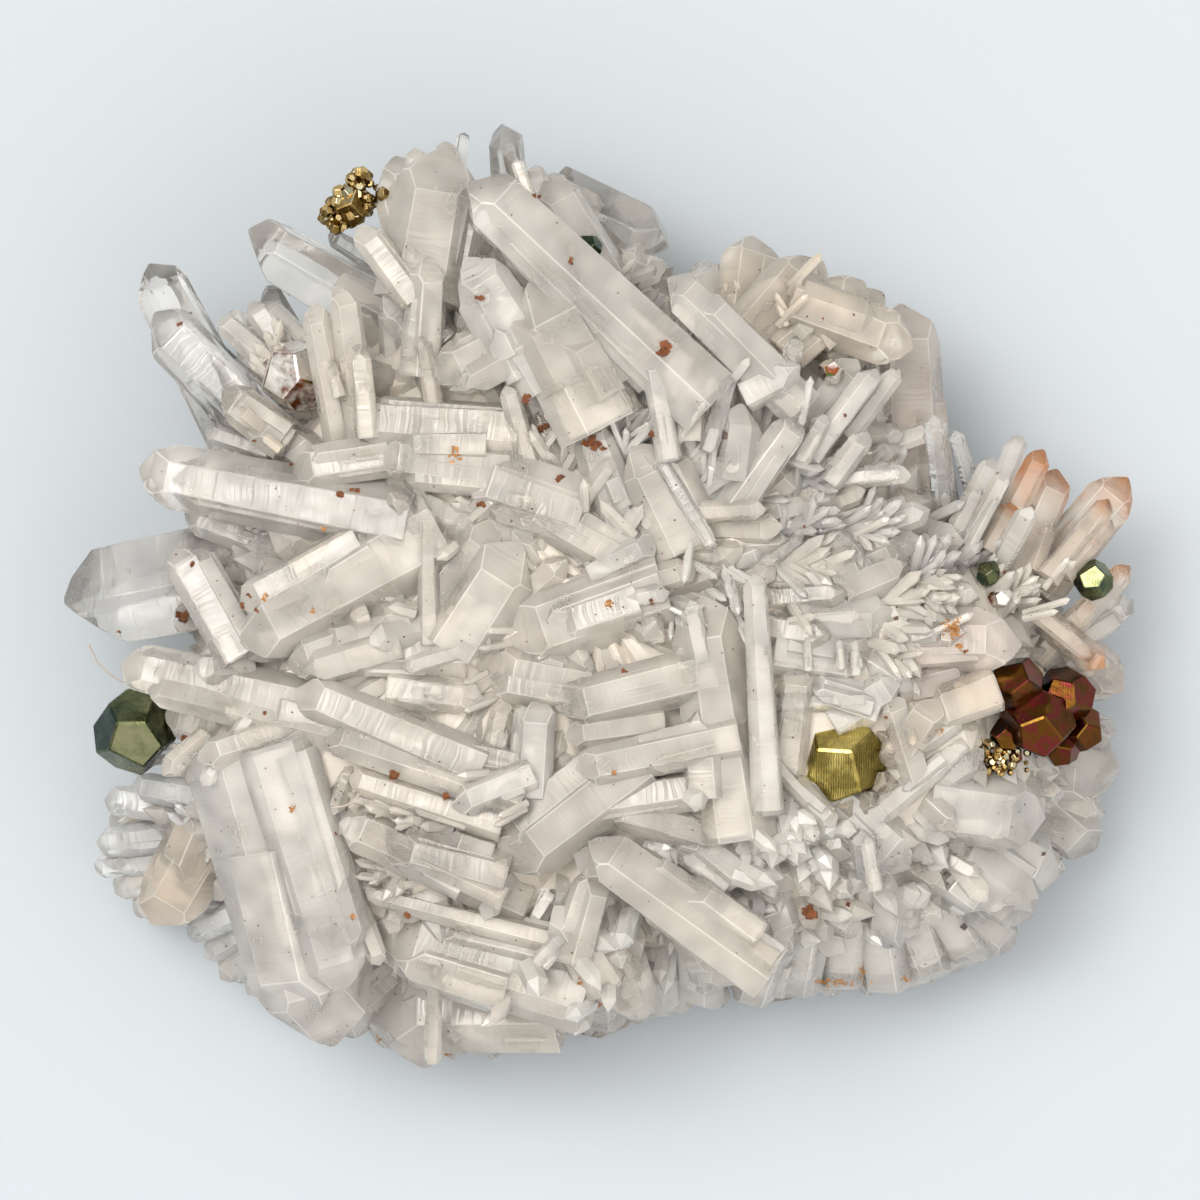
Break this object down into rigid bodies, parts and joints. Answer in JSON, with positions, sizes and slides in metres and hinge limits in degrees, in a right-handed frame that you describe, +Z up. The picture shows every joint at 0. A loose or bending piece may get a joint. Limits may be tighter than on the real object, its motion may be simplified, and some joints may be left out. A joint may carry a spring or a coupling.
{
  "type": "rainbow pyrite on quartz crystal cluster",
  "caption": "Mineral specimen: a plate of radiating quartz crystals set with tarnished pyrite crystals, resting on a flat remnant of its host rock.",
  "frame": {"origin": "on the surface that the host rock rests on, under the middle of the specimen's outline", "axes": "+Z up from the resting face, +X along the specimen's long side, +Y towards its pointed end"},
  "size_m": [0.1082, 0.0952, 0.0368],
  "materials": {
    "quartz": "milky natural crystal faces",
    "pyrite": "tarnished natural crystal faces",
    "rock": "rough broken stone"
  },
  "bodies": {
    "root": {"quartz_cluster": "quartz", "host_rock": "rock", "pyrite_centre": "pyrite", "pyrite_left_rim": "pyrite", "pyrite_upper_left": "pyrite", "pyrite_right_cluster": "pyrite", "pyrite_top_druse": "pyrite", "pyrite_green": "pyrite", "pyrite_hinge": "pyrite", "pyrite_notch": "pyrite", "pyrite_fan_gap": "pyrite", "pyrite_under_blade": "pyrite"}
  },
  "joints": []
}
